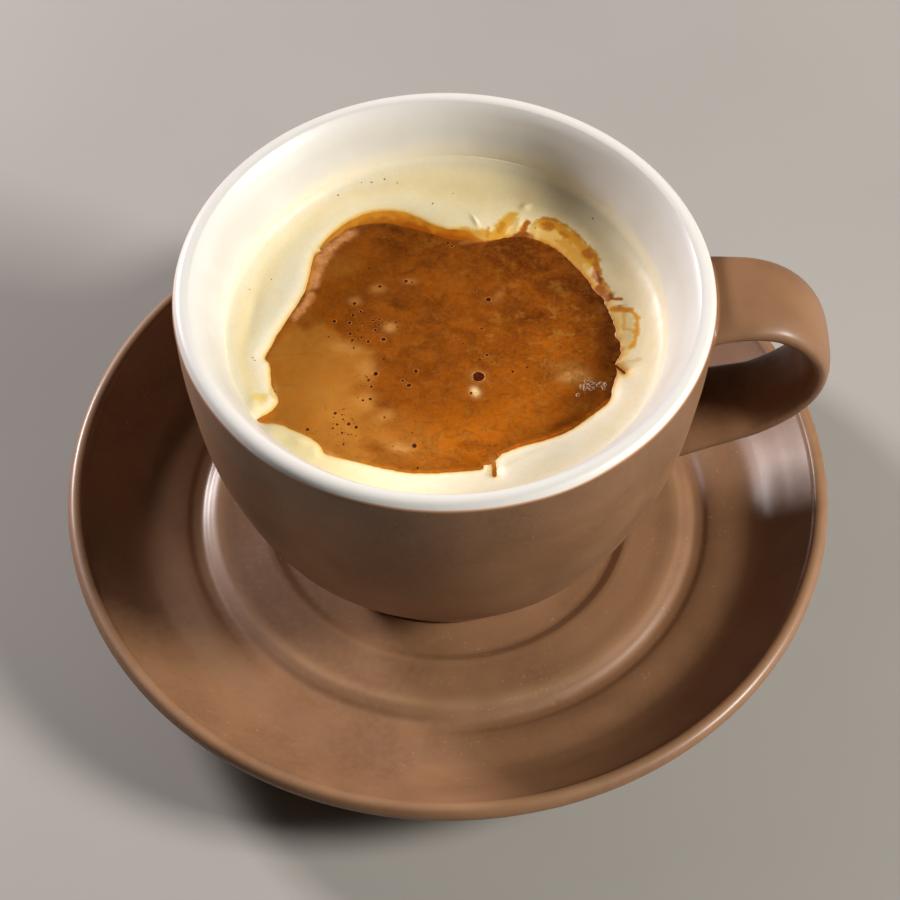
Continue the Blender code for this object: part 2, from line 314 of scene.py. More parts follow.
def spot(x, y, middle_x, middle_y, length, width, turn=0.0):
    """Soft patch, 1 in its middle, with half its length and width and degrees that it is turned."""
    angle = radians(turn)
    dx, dy = x - middle_x, y - middle_y
    along = (dx * cos(angle) + dy * sin(angle)) / length
    across = (dy * cos(angle) - dx * sin(angle)) / width
    return np.exp(-(along ** 2 + across ** 2))


def spots(x, y, table):
    """Sum of soft patches, each given with its strength."""
    return sum(strength * spot(x, y, *place) for *place, strength in table)


def line_distance(x, y, line, closed=False):
    """Distance of each point from a line, negative inside it if it is closed."""
    line = np.array(line)
    stretches = list(zip(line, np.roll(line, -1, axis=0)))
    best = np.full(len(x), 1e9)
    inside = np.zeros(len(x), bool)
    for (ax, ay), (bx, by) in stretches if closed else stretches[:-1]:
        dx, dy = bx - ax, by - ay
        length = max(dx * dx + dy * dy, 1e-12)
        share = np.clip(((x - ax) * dx + (y - ay) * dy) / length, 0.0, 1.0)
        np.minimum(best, (x - ax - share * dx) ** 2 + (y - ay - share * dy) ** 2, out=best)
        if closed and ay != by:
            inside ^= ((ay > y) != (by > y)) & (x < ax + (y - ay) / dy * dx)
    return np.where(inside, -1.0, 1.0) * np.sqrt(best)


# Meshes
def placed(name, data):
    """A new object in the scene."""
    made = bpy.data.objects.new(name, data)
    bpy.context.scene.collection.objects.link(made)
    return made


def smooth_mesh(name, points, faces, shift=0.0):
    mesh = bpy.data.meshes.new(name)
    mesh.from_pydata(((np.array(points) + (shift, 0.0, 0.0)) * MM).tolist(), [], faces)
    mesh.shade_smooth()
    return mesh


def strip(low, high, around):
    """Faces between two rings of points, each given by the number of its first point."""
    steps = [(step, (step + 1) % around) for step in range(around)]
    return [(low + step, high + step, high + after, low + after) for step, after in steps]


def ring_shape(rings, first_pole, last_pole):
    """Points and faces of rings that are closed round and with a pole at each end."""
    count, around = rings.shape[:2]
    points = np.concatenate((rings.reshape(-1, 3), (first_pole, last_pole)))
    last, pole = (count - 1) * around, count * around
    faces = []
    for low in range(0, last, around):
        faces += strip(low, low + around, around)
    faces += [(pole, step, (step + 1) % around) for step in range(around)]
    faces += [(pole + 1, last + (step + 1) % around, last + step) for step in range(around)]
    return points, faces


def rings_of(radius, height, angles):
    """Rings about the axis, from radii and heights with a row for each ring."""
    radius, height, angles = np.broadcast_arrays(radius, height, angles)
    return np.stack((radius * np.cos(angles), radius * np.sin(angles), height), 2)


def turned(profile, segments):
    """A profile of radius and height that starts and ends on the axis, turned about Z."""
    rings = rings_of(profile[1:-1, :1], profile[1:-1, 1:], full_turn(segments))
    return ring_shape(rings, (0, 0, profile[0, 1]), (0, 0, profile[-1, 1]))


def value_layer(mesh, name, values):
    layer = mesh.attributes.new(name, "FLOAT", "POINT")
    layer.data.foreach_set("value", np.asarray(values, np.float32))


def colour_layer(mesh, name, colours):
    layer = mesh.attributes.new(name, "FLOAT_COLOR", "POINT")
    full = np.concatenate((colours, np.ones((len(colours), 1))), 1)
    layer.data.foreach_set("color", full.astype(np.float32).ravel())


def add_piece(name, mesh, material, node=None):
    mesh.materials.append(material)
    piece = placed(name, mesh)
    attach(piece, BODY)
    if node:
        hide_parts(node)


# Materials
class Look:
    """A material and short ways to add its nodes."""

    def __init__(self, name):
        self.material = bpy.data.materials.new(name)
        self.material.use_nodes = True
        self.tree = self.material.node_tree
        self.shader = self.tree.nodes["Principled BSDF"]
        self.place = self.tree.nodes.new("ShaderNodeTexCoord").outputs["Object"]

    def feed(self, node, inputs):
        """Gives inputs of a node, by name or number, a source, a number or a colour."""
        for name, given in inputs.items():
            if isinstance(given, bpy.types.NodeSocket):
                self.tree.links.new(given, node.inputs[name])
            elif isinstance(given, float):
                node.inputs[name].default_value = given
            else:
                node.inputs[name].default_value = (*given, 1.0)

    def noise(self, scale, detail=3.0, roughness=0.5, distortion=0.0, vector=None):
        node = self.tree.nodes.new("ShaderNodeTexNoise")
        self.feed(node, {"Scale": scale, "Detail": detail, "Roughness": roughness})
        self.feed(node, {"Distortion": distortion, "Vector": vector or self.place})
        return node.outputs[0]

    def layer(self, name, kind="Fac"):
        node = self.tree.nodes.new("ShaderNodeAttribute")
        node.attribute_name = name
        return node.outputs[kind]

    def span(self, source, start, end, low=0.0, high=1.0):
        """Source from start to end becomes low to high."""
        node = self.tree.nodes.new("ShaderNodeMapRange")
        self.feed(node, {"Value": source, "From Min": start, "From Max": end})
        self.feed(node, {"To Min": low, "To Max": high})
        return node.outputs[0]

    def speckle(self, start, end, scale, *noise):
        """Noise whose values from start to end become 0 to 1."""
        return self.span(self.noise(scale, *noise), start, end)

    def mix(self, share, first, second, kind="MIX"):
        node = self.tree.nodes.new("ShaderNodeMix")
        node.data_type = "RGBA"
        node.blend_type = kind
        self.feed(node, {0: share, 6: first, 7: second})
        return node.outputs[2]

    def times(self, source, *others):
        """Product of a source with numbers and other sources."""
        for other in others:
            node = self.tree.nodes.new("ShaderNodeMath")
            node.operation = "MULTIPLY"
            self.feed(node, {0: source, 1: other})
            source = node.outputs[0]
        return source

    def clouded(self, scale, detail, low, high):
        """Roughness in soft clouds from low to high."""
        return self.span(self.noise(scale, detail), 0.3, 0.7, low, high)

    def finish(self, colour, roughness, bumps, **values):
        """The material: sources of colour and roughness, bumps, and values of the shader.

        Each bump is the scale and detail of its noise, and its height in millimetres.
        """
        below = {}
        for scale, detail, height in bumps:
            node = self.tree.nodes.new("ShaderNodeBump")
            self.feed(node, {"Strength": 1.0, "Distance": height * MM} | below)
            self.feed(node, {"Height": self.noise(scale, detail)})
            below = {"Normal": node.outputs[0]}
        self.feed(self.shader, {"Base Color": colour, "Roughness": roughness} | below)
        for name, value in values.items():
            self.shader.inputs[name.replace("_", " ")].default_value = value
        return self.material


def brown_tone(look):
    """Colour of the brown glaze, with clouds, fine mottling and pale specks."""
    tone = look.mix(look.speckle(0.36, 0.66, 42.0, 3.0, 0.55, 0.4), BROWN_DEEP, BROWN_GLAZE)
    mottle = look.speckle(0.38, 0.64, 700.0, 4.0, 0.6)
    tone = look.mix(look.times(mottle, 0.35), tone, BROWN_GLAZE)
    specks = look.speckle(0.66, 0.74, 1500.0, 2.0, 0.5)
    patches = look.speckle(0.45, 0.65, 60.0, 2.0)
    return look.mix(look.times(specks, patches, 0.7), tone, BROWN_WORN)


def cup_look():
    look = Look("cup_glaze")
    border = look.layer("border")
    # Painted shade and light: the white is darker on the inner wall and lighter over the lip
    milky = look.mix(look.span(border, -8.0, -3.5), SHADED_WALL_WHITE, LIT_LIP_WHITE)
    milky = look.mix(look.times(look.speckle(0.4, 0.7, 90.0, 2.0), 0.5), milky, LIT_LIP_WHITE)
    milky = look.mix(look.times(look.layer("residue"), 0.9), milky, CREAM_THIN)
    edge = look.mix(look.span(border, -0.05, 0.12), milky, GLAZE_EDGE)
    tone = look.mix(look.span(border, 0.18, 0.5), edge, brown_tone(look))
    satin = look.clouded(160.0, 2.0, 0.50, 0.62)
    rough = look.mix(look.span(border, 0.0, 0.3), (0.4, 0.4, 0.4), satin)
    bumps = ((1100.0, 3.0, 0.012), (260.0, 2.0, 0.03))
    return look.finish(tone, rough, bumps, Specular_IOR_Level=0.35, Coat_Weight=0.28, Coat_Roughness=0.28)


def saucer_look():
    look = Look("saucer_glaze")
    tone = look.mix(look.times(look.layer("worn"), 0.55), brown_tone(look), BROWN_WORN)
    rough = look.clouded(130.0, 3.0, 0.50, 0.62)
    bumps = ((1100.0, 3.0, 0.014), (240.0, 2.0, 0.035))
    return look.finish(tone, rough, bumps, Specular_IOR_Level=0.4, Coat_Weight=0.42, Coat_Roughness=0.26)


def cream_look():
    look = Look("ice_cream")
    grain = look.speckle(0.35, 0.65, 1500.0, 4.0, 0.6)
    tone = look.mix(look.times(grain, 0.5), look.layer("paint", "Color"), CREAM_GRAIN, "MULTIPLY")
    haze = look.speckle(0.4, 0.7, 240.0, 3.0)
    tone = look.mix(look.times(haze, 0.12), tone, CREAM_YELLOW, "MULTIPLY")
    rough = look.clouded(420.0, 3.0, 0.42, 0.56)
    bumps = ((1400.0, 4.0, 0.02), (380.0, 3.0, 0.05))
    depth = {"Subsurface_Weight": 0.12, "Subsurface_Scale": 0.0008, "Subsurface_Radius": (1.0, 0.75, 0.4)}
    return look.finish(tone, rough, bumps, Coat_Weight=0.06, Coat_Roughness=0.25, **depth)


def crema_look():
    look = Look("espresso_crema")
    calm = look.span(look.layer("fringe"), 0.0, 1.0, 1.0, 0.2)
    lively = look.times(look.layer("lively"), calm)
    patches = look.speckle(0.42, 0.64, 240.0, 4.0, 0.55, 0.8)
    tone = look.mix(look.times(patches, 0.28, calm), look.layer("paint", "Color"), CREMA_ORANGE)
    dark = look.mix(0.75, tone, CREMA_DARK)
    blots = look.speckle(0.46, 0.62, 520.0, 4.0, 0.6, 0.7)
    tone = look.mix(look.times(blots, 0.85, lively), tone, dark)
    streaks = look.speckle(0.44, 0.66, 0.5, 5.0, 0.62, 1.2, look.layer("flow", "Vector"))
    tone = look.mix(look.times(streaks, 0.45, lively), tone, dark)
    light = look.mix(0.55, tone, CREMA_TAN)
    wisps = look.speckle(0.52, 0.66, 520.0, 4.0, 0.6, 0.35)
    tone = look.mix(look.times(wisps, 0.85, lively), tone, light)
    mottle = look.speckle(0.42, 0.64, 1700.0, 4.0, 0.66)
    tone = look.mix(look.times(mottle, 0.2, calm), tone, light)
    grain = look.speckle(0.42, 0.68, 5200.0, 2.0, 0.5)
    tone = look.mix(look.times(grain, 0.13), tone, dark)
    froth = look.speckle(0.25, 0.7, 1000.0, 4.0, 0.6)
    tone = look.mix(look.times(look.layer("foam"), froth), tone, FROTH)
    rough = look.clouded(900.0, 3.0, 0.30, 0.46)
    return look.finish(tone, rough, ((3200.0, 3.0, 0.014), (700.0, 4.0, 0.03)), Specular_IOR_Level=0.2)


def plain_look(name, colour, other, scale, roughness, height, shine=0.5):
    """A small piece's finish: two tones in fine clouds, with a little relief."""
    look = Look(name)
    tone = look.mix(look.speckle(0.35, 0.65, scale, 3.0), colour, other)
    rough = look.clouded(scale, 2.0, roughness, roughness + 0.12)
    return look.finish(tone, rough, ((scale * 1.5, 2.0, height),), Specular_IOR_Level=shine)


# Cup
def outer_radius(below):
    return monotone([(low, radius) for radius, low in OUTER_WALL], below)


def hollow_radius(below):
    return monotone(sorted((low, radius) for radius, low in HOLLOW), below)


def cup_profile():
    """Profile from the middle of the hollow over the lip, and how far past the white it is."""
    hollow = smooth_line([(radius, RIM_HEIGHT - low) for radius, low in HOLLOW[:4]], 4)[:-1]
    deep, shallow = HOLLOW[3][1], HOLLOW[-1][1]
    lows = np.concatenate((np.linspace(deep, FINE_WALL, 16)[:-1], np.linspace(FINE_WALL, shallow, 50)))
    wall = np.stack((hollow_radius(lows), RIM_HEIGHT - lows), 1)
    centre = (RIM_RADIUS - LIP_ROUNDING, RIM_HEIGHT - LIP_ROUNDING)
    lip = arc(centre, LIP_ROUNDING, LIP_START, 0.0, LIP_STEPS)
    lows = np.linspace(OUTER_WALL[0][1], OUTER_WALL[-1][1], 110)[1:]
    outer = np.stack((outer_radius(lows), RIM_HEIGHT - lows), 1)
    foot = arc((FOOT_RADIUS - FOOT_ROUNDING, CUP_FOOT + FOOT_ROUNDING), FOOT_ROUNDING, 0.0, -90.0, 6)[1:]
    profile = np.concatenate((hollow, wall, lip, outer, foot, np.array(UNDERSIDE) + (0.0, CUP_FOOT)))
    length = np.concatenate(([0.0], np.cumsum(np.hypot(*np.diff(profile, axis=0).T))))
    start, end = length[len(hollow) + len(wall) + np.array((0, LIP_STEPS))]
    return profile, length - start - (LIP_START - 90.0 + WHITE_ENDS) / LIP_START * (end - start)


def strap_section(half_width, half_thickness):
    """Rounded section of the strap as points (across, out) with their normals."""
    halves = np.array((half_width, half_thickness))
    angle = full_turn(STRAP_SEGMENTS)
    turn = np.stack((np.cos(angle), np.sin(angle)), 1)
    points = halves * np.sign(turn) * np.abs(turn) ** (2.0 / STRAP_ROUNDNESS)
    normals = np.sign(points) * np.abs(points / halves) ** (STRAP_ROUNDNESS - 1.0) / halves
    return points, normals / np.hypot(*normals.T)[:, None]


def handle_rings():
    """Rings of the strap; near the cup they widen into a small hollow rounding."""
    line = smooth_line(HANDLE_LINE, 14)
    along = np.gradient(line[:, :2], axis=0)
    along[:, 1] *= -1.0
    along /= np.hypot(*along.T)[:, None]
    sideways = np.array((0.0, 1.0, 0.0))
    rings = []
    for index, (radius, below, width) in enumerate(line):
        outward = np.array((-along[index, 1], 0.0, along[index, 0]))
        middle = np.array((radius, 0.0, RIM_HEIGHT - below))
        points, normals = strap_section(0.5 * width, 0.5 * STRAP_THICKNESS)
        foot = middle + points[:, :1] * sideways + points[:, 1:] * outward
        normal = normals[:, :1] * sideways + normals[:, 1:] * outward
        upper = np.maximum(normal[:, 2], 0.0) * (index < len(line) / 2)
        fillet = FILLET + (UPPER_FILLET - FILLET) * upper
        fillet *= 1.0 - SIDE_FILLET_CUT * np.abs(normal[:, 1])
        grown = np.zeros(len(foot))
        for _ in range(FILLET_ROUNDS):
            place = foot + normal * grown[:, None]
            away = np.hypot(place[:, 0], place[:, 1]) - outer_radius(RIM_HEIGHT - place[:, 2])
            reach = np.clip(fillet - away, 0.0, fillet)
            grown += FILLET_PACE * (fillet - np.sqrt(fillet ** 2 - reach ** 2) - grown)
        place = foot + normal * grown[:, None]
        wall = outer_radius(RIM_HEIGHT - place[:, 2])
        reach = np.hypot(place[:, 0], place[:, 1])
        place[:, :2] *= (np.maximum(reach, wall - HIDDEN_DEPTH) / reach)[:, None]
        rings.append(place)
    return np.array(rings)


def wall_residue(points):
    """How much cream clings to each point of the cup: none outside it or high on its wall."""
    x, y, z = points.T
    angle = np.arctan2(y, x)
    above = z - (RIM_HEIGHT - round_value(CONTACT_BELOW, angle))
    above += 0.5 * cloud(40.0 * np.cos(angle), 40.0 * np.sin(angle), 3.0, 61)
    share = 1.0 - soft_step(above, -0.3, round_value(STAINED_WALL, angle))
    return np.where(np.hypot(x, y) < 0.5 * (RIM_RADIUS + hollow_radius(RIM_HEIGHT - z)), share, 0.0)


def glaze_border(border):
    """How far past the white each point of the turned cup is."""
    angles = np.degrees(full_turn(CUP_SEGMENTS))
    dip = sum(depth * bell(angles, middle, width) for middle, width, depth in GLAZE_DIPS)
    dip += 0.07 * cloud(angles, 0 * angles, 9.0, 3)
    return np.concatenate(((border[1:-1, None] - dip).ravel(), [border[0], border[-1]]))


def make_cup():
    profile, border = cup_profile()
    points, faces = turned(profile, CUP_SEGMENTS)
    rings = handle_rings()
    strap, strap_faces = ring_shape(rings, rings[0].mean(0), rings[-1].mean(0))
    faces += [[corner + len(points) for corner in face] for face in strap_faces]
    mesh = smooth_mesh("cup_glazed", np.concatenate((points, strap)), faces, CUP_SHIFT)
    brown = np.full(len(strap), ALL_BROWN)
    value_layer(mesh, "border", np.concatenate((glaze_border(border), brown)))
    value_layer(mesh, "residue", np.concatenate((wall_residue(points), np.zeros(len(strap)))))
    add_piece("cup_glazed", mesh, cup_look(), "cup")


# Saucer
def make_saucer():
    radii = np.concatenate([np.linspace(*rings) for rings in SAUCER_RINGS])
    top = np.stack((radii, monotone(SAUCER_TOP, radii)), 1)
    centre = (SAUCER_RADIUS - SAUCER_RIM_ROUNDING, SAUCER_RIM_TOP - SAUCER_RIM_ROUNDING)
    start = 90.0 + SAUCER_WALL_SLOPE
    rim = arc(centre, SAUCER_RIM_ROUNDING, start, start - 180.0, RIM_STEPS)
    profile = np.concatenate((top, rim, SAUCER_BOTTOM))
    mesh = smooth_mesh("saucer_glazed", *turned(profile, SAUCER_SEGMENTS))
    radius = profile[1:-1, 0]
    worn = sum(strength * bell(radius, middle, width) for middle, width, strength in WORN_RIDGES)
    worn *= np.arange(len(radius)) <= len(top) + RIM_STEPS // 2
    angle = full_turn(SAUCER_SEGMENTS)
    patchy = 0.75 + 0.25 * cloud(70 * np.cos(angle), 70 * np.sin(angle), 9.0, 8)
    value_layer(mesh, "worn", np.concatenate(((worn[:, None] * patchy).ravel(), [0.0, 0.0])))
    add_piece("saucer_glazed", mesh, saucer_look(), "saucer")


# Ice cream
OUTLINE = smooth_line(POOL_OUTLINE, 5, closed=True)
# Every 30 degrees from +X: height of the raised bank beside the espresso, length over which
# its edge rises, share of its height left in the valley behind it, where the surface starts
# to climb, how steeply it climbs, how far below the rim it meets the wall, and how far above
# that the wall is still stained
BANK_HEIGHTS = (0.4, 0.35, 0.3, 0.3, 0.35, 0.5, 0.65, 0.6, 0.65, 0.7, 0.9, 0.8)
EDGE_LENGTH = (1.1, 1.2, 1.4, 1.2, 1.1, 1.2, 1.1, 0.9, 0.6, 0.6, 1.1, 1.3)
VALLEY_SHARE = (0.85, 0.62, 0.62, 0.62, 0.75, 0.88, 0.9, 0.85, 0.85, 1.0, 1.0, 1.0)
CLIMB_RADIUS = (33.0, 33.0, 29.6, 27.6, 32.2, 33.6, 34.8, 34.8, 34.2, 33.0, 31.0, 31.6)
CLIMB_POWER = (1.5, 2.2, 2.4, 2.4, 2.4, 2.4, 2.4, 2.4, 2.0, 1.4, 1.1, 1.15)
CONTACT_BELOW = (9.8, 9.5, 9.3, 9.5, 10.0, 11.0, 12.1, 12.4, 12.2, 11.0, 9.4, 9.3)
STAINED_WALL = (1.6, 2.2, 3.4, 4.0, 3.4, 1.6, 1.0, 1.0, 1.0, 1.0, 1.0, 1.2)
# Share of the climb that comes only at the wall itself, and its power
STEEP_SHARE = 0.28
STEEP_POWER = 12.0
# Every 30 degrees from +X: how yellow the valley and the rest are, where the valley lies
# between the espresso and the wall, how white the thin edge at the wall is, and how much of
# its brightness the cream towards the wall keeps under painted shade, darkest at the back right
VALLEY_YELLOW = (0.3, 0.3, 0.3, 0.3, 0.3, 0.48, 0.68, 0.58, 0.25, 0.1, 0.25, 0.3)
MELTED_YELLOW = (0.3, 0.4, 0.5, 0.48, 0.24, 0.06, 0.0, 0.12, 0.32, 0.1, 0.0, 0.04)
VALLEY_PLACE = (0.6, 0.55, 0.55, 0.62, 0.55, 0.62, 0.66, 0.6, 0.7, 0.7, 0.68, 0.64)
WHITE_EDGE = (0.6, 0.55, 0.7, 0.8, 0.9, 0.95, 1.0, 1.0, 0.9, 0.8, 0.8, 0.7)
NEAR_WALL_SHADE = (0.97, 0.72, 0.8, 0.88, 0.86, 1.0, 1.0, 1.0, 1.0, 1.0, 1.0, 1.0)
VALLEY_WIDTH = 0.24


def pool_distance(x, y):
    """Distance from the edge of the espresso, negative over it."""
    away = line_distance(x, y, OUTLINE, closed=True)
    ragged = 0.05 + 0.12 * facing(np.arctan2(y, x), 25.0, 0.6, 0.9)
    away += ragged * clouds(x, y, (1.0, 0.75, 91), (0.5, 1.6, 92))
    for points, half in POOL_RUNS:
        away = np.minimum(away, line_distance(x, y, points) - half)
    return away


def outline_radius(angles):
    """The outline's radius at each angle, smoothed over its spikes."""
    theta = np.arctan2(OUTLINE[:, 1], OUTLINE[:, 0]) % tau
    order = np.argsort(theta)
    radius = np.hypot(*OUTLINE.T)[order]
    return np.interp(angles % tau, theta[order], radius, period=tau)


# Lumps and ridges of the ice cream: x, y, half length, half width, turn, height
LUMPS = (
    (-29.2, -22.6, 2.2, 1.1, -25, 0.3), (-24.6, -24.6, 1.8, 1.2, -30, 0.3),
    (-21.8, -26.6, 1, 1.2, 0, 0.25), (-33, -16.6, 1, 2.4, 10, 0.25),
    (5.6, 25.8, 0.4, 1.4, 25, 0.35), (14.8, 29.2, 0.9, 0.7, 20, 0.45),
    (13.3, 24.6, 0.4, 1.6, -15, 0.22), (16.6, 24.2, 0.6, 1.5, -10, 0.2),
    (7.3, -29.6, 0.6, 0.5, 0, 0.35), (27.6, 12.6, 0.5, 1.5, 15, 0.35),
    (29.6, 8.6, 0.7, 0.5, 30, 0.3), (30.8, 5.9, 1.1, 0.35, 0, 0.2),
    (-34.2, 4, 1.3, 7, -8, -0.25), (28.6, -22, 1.3, 7, 52, -0.25),
)


def cream_relief(x, y, away):
    """Height of the raised bank and its lumps above the plain surface."""
    angle = np.arctan2(y, x)
    valley = round_value(VALLEY_SHARE, angle)
    near = np.clip((BANK_MIDDLE - away) / BANK_MIDDLE, 0.0, 1.0)
    far = bell(np.clip(away, BANK_MIDDLE, None), BANK_MIDDLE, BANK_WIDTH)
    relief = round_value(BANK_HEIGHTS, angle) * (1.0 - 0.5 * near ** 2)
    relief *= valley + (1.0 - valley) * far
    relief += clouds(x, y, (0.07, 5.0, 11), (0.02, 1.7, 12)) * np.clip(away, 0.0, 1.0)
    return relief + spots(x, y, LUMPS) * np.clip(away / 0.4, 0.0, 1.0)


def cream_height(x, y, away):
    """Height of the ice cream's top at a point, out to where it meets the wall."""
    angle = np.arctan2(y, x)
    start = round_value(CLIMB_RADIUS, angle)
    below = round_value(CONTACT_BELOW, angle)
    share = np.clip((np.hypot(x, y) - start) / (hollow_radius(below) - start), 0.0, 1.1)
    climb = (1.0 - STEEP_SHARE) * share ** round_value(CLIMB_POWER, angle)
    climb += STEEP_SHARE * share ** STEEP_POWER
    relief = cream_relief(x, y, away)
    relief += (RIM_HEIGHT - below - POOL_LEVEL - relief) * climb
    rise = 1.0 - np.exp(-np.maximum(away, 0.0) / round_value(EDGE_LENGTH, angle))
    above = (np.maximum(relief, 0.04) + CONTACT_DIP) * rise
    return POOL_LEVEL - CONTACT_DIP + np.where(away > 0.0, above, 1.2 * np.maximum(away, -2.0))


# Coffee on the ice cream: points, half width, softness, colour, opacity
STAINS = (
    (((30.2, 4.4), (31.6, 3.2), (32.0, 1.0), (31.8, -1.4)), 1.2, 1.2, (246, 214, 140), 0.5),
    (((17.4, 23.9), (19.7, 23.1), (22.3, 20.6), (24.5, 17.9), (26.2, 15.6)), 1.2, 1.4,
     (232, 184, 92), 0.8),
    (((21.6, 20.6), (23.4, 18.2), (25.4, 15.4)), 0.8, 1.0, (212, 152, 52), 0.75),
    (((17.5, 25.3), (19.4, 25.4), (22.0, 23.3), (24.4, 20.5), (26.3, 17.3), (26.9, 15.8)), 0.7, 0.8,
     (222, 152, 30), 0.92),
    (((18.2, 24.7), (19.0, 24.7)), 0.6, 0.7, (190, 106, 14), 0.85),
    (((21.6, 22.9), (22.2, 22.3)), 0.3, 0.6, (196, 118, 20), 0.75),
    (((25.7, 18.2), (26.1, 17.4)), 0.4, 0.6, (184, 102, 12), 0.8),
    (((17.0, 26.2), (19.3, 26.6), (22.2, 24.7), (25.0, 21.5), (27.0, 17.7), (27.4, 15.6)), 0.08, 0.4,
     (186, 110, 22), 0.55),
    (((25.8, 15.0), (26.6, 13.6)), 0.5, 0.6, (252, 232, 196), 0.5),
    (((27.2, 15.0), (27.5, 12.9), (28.0, 10.9)), 0.36, 0.7, (200, 116, 24), 0.85),
    (((27.3, 13.4), (27.6, 12.0), (27.9, 11.0)), 0.12, 0.35, (150, 72, 6), 0.85),
    (((28.6, 10.2), (29.0, 9.9)), 0.3, 0.5, (222, 150, 70), 0.7),
    (((27.6, 9.8), (28.8, 8.8), (29.4, 7.9)), 0.4, 0.7, (180, 96, 10), 0.85),
    (((29.2, 7.3), (30.2, 7.4), (31.5, 7.3)), 0.1, 0.35, (150, 72, 6), 0.8),
    (((29.9, 5.0), (31.7, 5.1), (33.1, 4.7)), 0.24, 0.55, (220, 128, 20), 0.85),
    (((33.1, 4.7), (34.0, 3.2), (34.1, 1.4), (33.9, -0.6), (33.4, -3.0), (32.7, -3.8)), 0.1, 0.6,
     (236, 152, 36), 0.85),
    (((31.8, 4.4), (31.9, 2.6), (31.7, 0.5)), 0.06, 0.45, (232, 158, 60), 0.5),
    (((31.7, 0.4), (33.7, 0.2)), 0.06, 0.4, (234, 166, 66), 0.5),
    (((32.0, -6.9), (34.0, -7.0)), 0.15, 0.5, (240, 192, 110), 0.5),
    (((3.6, 23.4), (5.5, 23.1), (7.8, 22.8), (10.0, 22.7)), 0.5, 0.9, (228, 168, 66), 0.85),
    (((7.6, 22.2), (8.0, 24.2)), 0.12, 0.4, (206, 132, 36), 0.6),
    (((9.6, 22.8), (10.6, 25.0), (12.2, 26.9)), 0.7, 1.0, (228, 166, 50), 0.85),
    (((9.8, 23.6), (10.4, 25.2)), 0.25, 0.6, (206, 130, 22), 0.7),
    (((12.9, 25.6), (13.0, 23.6)), 0.5, 0.8, (236, 190, 116), 0.5),
    (((13.0, 22.4), (14.4, 22.8), (15.6, 22.2)), 0.4, 0.5, (134, 66, 8), 0.85),
    (((13.9, 22.6), (14.5, 24.2), (15.2, 25.9)), 0.22, 0.5, (166, 84, 12), 0.85),
    (((16.3, 22.4), (16.9, 24.4)), 0.7, 0.8, (244, 214, 150), 0.5),
    (((-30.6, -19.4), (-32.0, -19.9), (-33.2, -20.4)), 0.4, 0.6, (240, 166, 50), 0.9),
    (((-31.2, -15.4), (-32.0, -15.2)), 0.1, 1.4, (250, 212, 110), 0.6),
    (((-29.8, -13.2), (-29.2, -14.8)), 0.3, 0.6, (232, 190, 110), 0.5),
)


def blend(colours, colour, share):
    return colours + (colour - colours) * share[:, None]


def tint(colours, colour, share):
    """Colours under a thin film of another colour, which multiplies them."""
    film = np.maximum(linear(*colour), DARKEST)
    return np.maximum(colours, DARKEST) ** (1.0 - share[:, None]) * film ** share[:, None]


def paint_stains(x, y, colours):
    blur = clouds(x, y, (0.45, 0.8, 21), (0.25, 0.35, 22))
    for points, half, softness, colour, opacity in STAINS:
        away = line_distance(x, y, smooth_line(points, 4)) + blur * softness
        colours = tint(colours, colour, opacity * (1.0 - soft_step(away, half, half + softness)))
    return colours


def cream_colours(x, y, away):
    """Colour of the ice cream: pale banks, a yellow valley, a thin white edge, coffee, and painted shade
    near the wall.
    """
    angle = np.arctan2(y, x)
    wall = hollow_radius(round_value(CONTACT_BELOW, angle))
    gap = np.maximum(wall - np.hypot(x, y), 0.0)
    share = np.maximum(away, 0.0) / (np.maximum(away, 0.0) + gap + 0.01)
    share += clouds(x, y, (0.05, 3.0, 71), (0.02, 1.2, 72))
    valley = bell(share, round_value(VALLEY_PLACE, angle), VALLEY_WIDTH)
    yellow = valley * round_value(VALLEY_YELLOW, angle) + round_value(MELTED_YELLOW, angle)
    yellow = np.clip(yellow + 0.08 * cloud(x, y, 2.2, 73), 0.0, 1.0)
    colours = blend(CREAM_PALE, CREAM_YELLOW, yellow)
    front_left = spot(x, y, -24.0, -25.5, 10.0, 4.0, -38.0)
    colours = blend(colours, CREAM_GREENISH, 0.85 * front_left)
    stained = facing(angle, 28.0, 0.5, 0.85)
    near = np.exp(-np.maximum(away, 0.0) / (0.3 + 0.5 * stained)) * (away > -0.5)
    colours = tint(colours, COFFEE_STAIN, (0.5 + 0.4 * stained) * near)
    colours = paint_stains(x, y, colours)
    at_wall = (1.0 - soft_step(gap, 0.3, 2.6)) * round_value(WHITE_EDGE, angle)
    colours = blend(colours, CREAM_THIN, at_wall)
    # Painted shade: the outer cream near the wall is darkened by angle, most at the back right
    thin = soft_step(share, 0.35, 0.7) * soft_step(gap, 0.0, 1.2)
    return colours * (1.0 - (1.0 - round_value(NEAR_WALL_SHADE, angle)) * thin)[:, None]


def relief_rings(radius, angles, height_of):
    """Rings whose heights a function gives, and how far each point is from the espresso."""
    x, y = (radius * np.cos(angles)).ravel(), (radius * np.sin(angles)).ravel()
    away = pool_distance(x, y)
    height = height_of(x, y, away).reshape(radius.shape)
    return rings_of(radius, height, angles), away


def food_mesh(name, rings, away, hidden, first_pole, last_pole):
    """A mesh in the cup, and the x, y and distance from the espresso of its points.

    The points that follow those of the surface get one distance, as they are hidden.
    """
    points, faces = ring_shape(rings, first_pole, last_pole)
    mesh = smooth_mesh(name, points, faces, CUP_SHIFT)
    away = np.concatenate((away, np.full(len(points) - len(away), hidden)))
    return mesh, points[:, 0], points[:, 1], away


